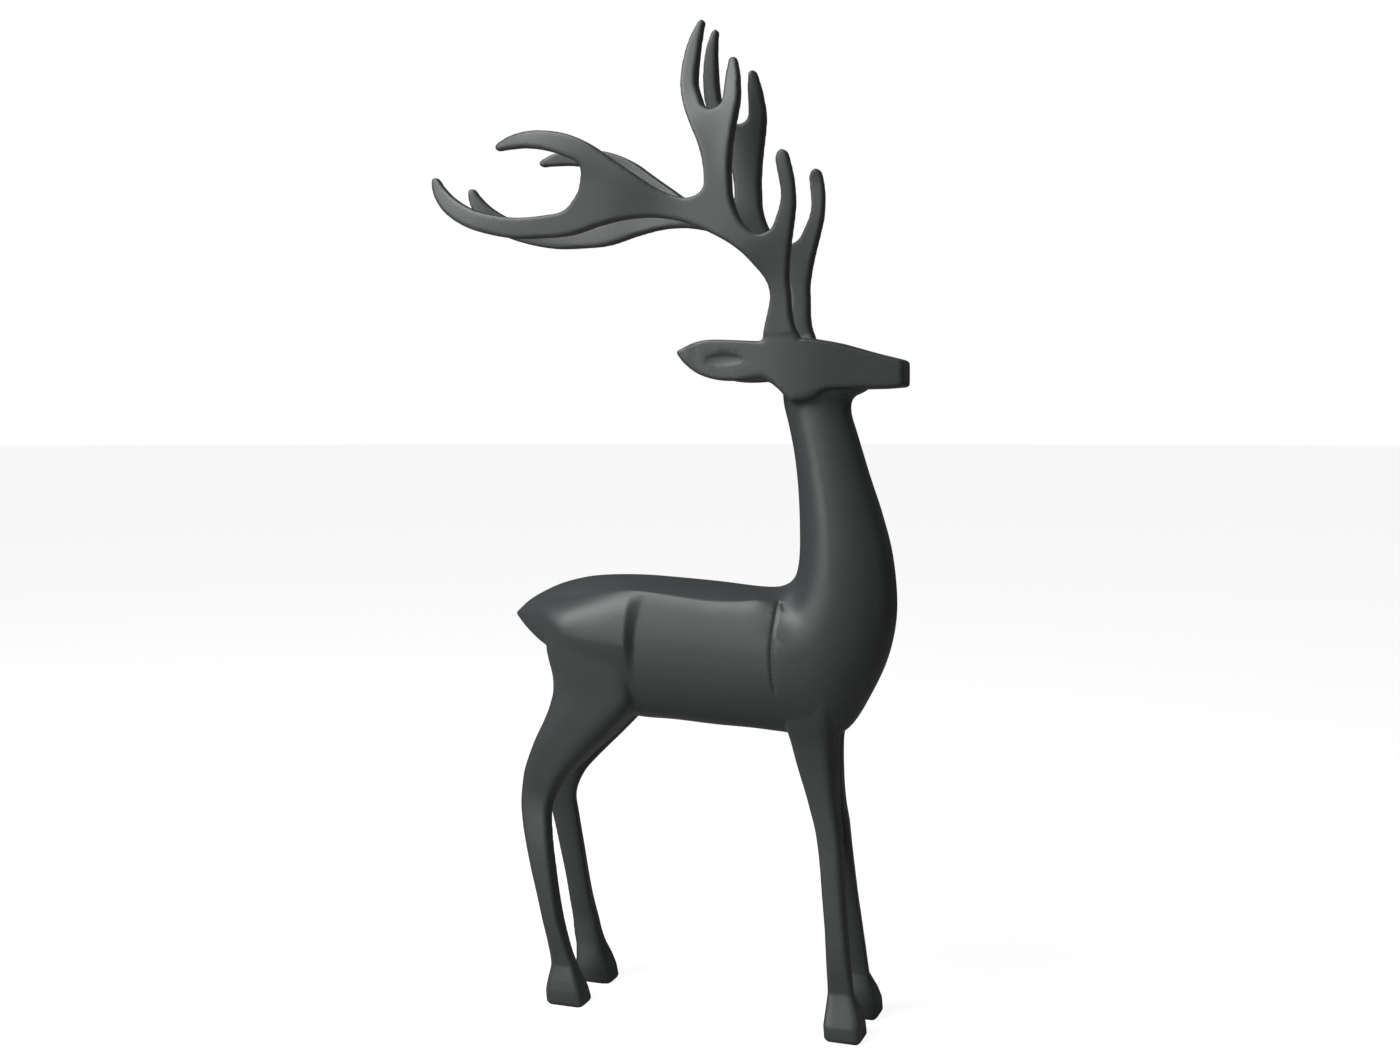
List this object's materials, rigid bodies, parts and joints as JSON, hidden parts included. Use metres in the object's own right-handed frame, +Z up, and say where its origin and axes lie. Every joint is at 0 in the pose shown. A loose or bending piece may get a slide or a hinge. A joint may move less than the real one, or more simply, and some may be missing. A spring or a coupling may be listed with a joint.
{
  "type": "standing deer figurine",
  "caption": "Standing stag with upright neck and swept-back antlers, cast in one piece; a table or mantel ornament that stands on its hooves.",
  "frame": {"origin": "centre of the object's box at the level of the hoof soles", "axes": "+X the way the deer faces, +Y to the deer's left, +Z up"},
  "size_m": [0.2474, 0.0664, 0.5],
  "materials": {
    "casting": "satin charcoal paint or pigmented cast resin, slightly cool"
  },
  "bodies": {
    "root": {"deer": "casting"}
  },
  "joints": []
}
